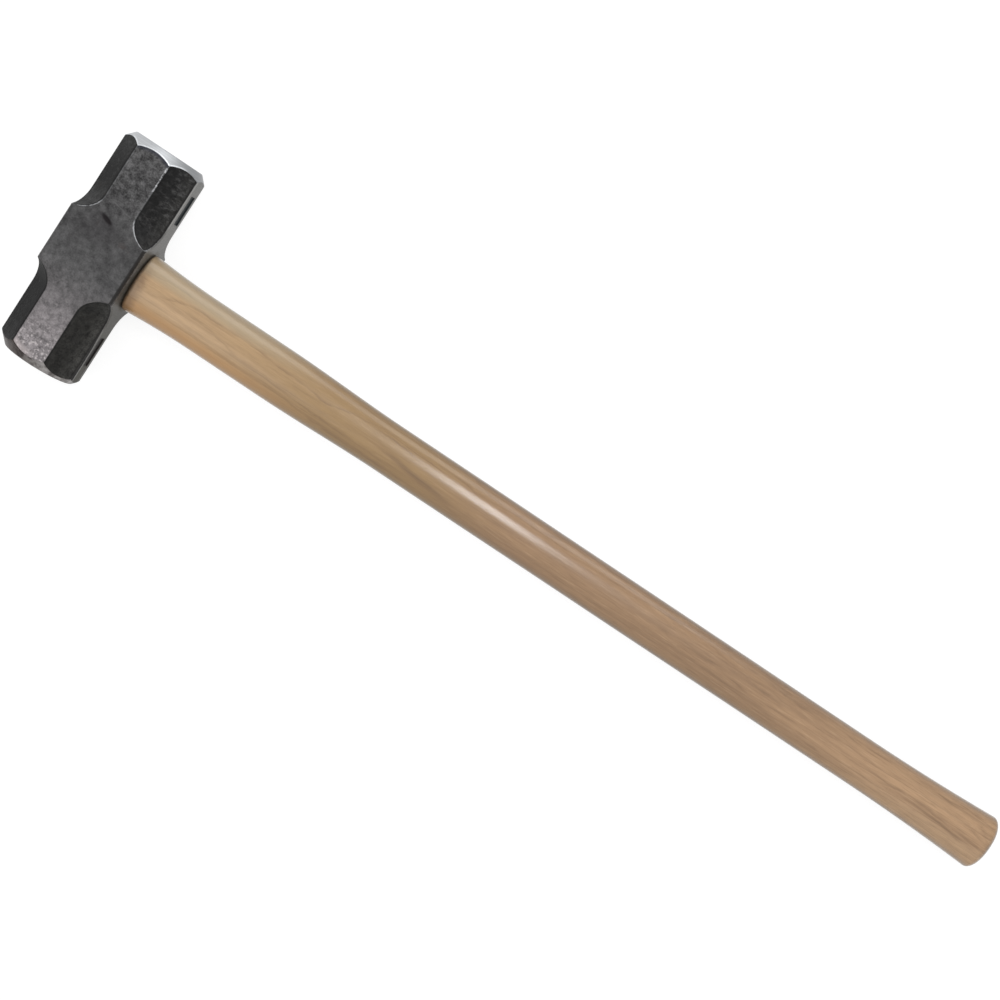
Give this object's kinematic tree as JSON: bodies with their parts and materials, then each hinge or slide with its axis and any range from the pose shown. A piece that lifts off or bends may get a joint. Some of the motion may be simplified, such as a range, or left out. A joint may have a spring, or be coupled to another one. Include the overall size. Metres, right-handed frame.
{
  "type": "sledge hammer",
  "caption": "Double-faced sledge hammer with a forged steel head, octagonal arms and a wedged hickory handle, for driving stakes and breaking masonry.",
  "frame": {"origin": "on the lower cheek of the head, under the crossing of the head's axis and the handle's axis", "axes": "+X along the handle from the head to the butt, +Y along the head from one striking face to the other, +Z out of the upper cheek"},
  "size_m": [0.915, 0.206, 0.072],
  "materials": {
    "forged_steel": "dark satin lacquer over a forged surface, with bare ground steel on the striking ends and under the arms",
    "hickory": "varnished hickory with grain along the handle",
    "wedge_timber": "sawn hardwood end grain",
    "wedge_steel": "plain mild steel, hammered flush"
  },
  "bodies": {
    "root": {"hammer_head": "forged_steel", "handle": "hickory", "timber_wedge": "wedge_timber", "steel_wedge_left": "wedge_steel", "steel_wedge_right": "wedge_steel"}
  },
  "joints": []
}
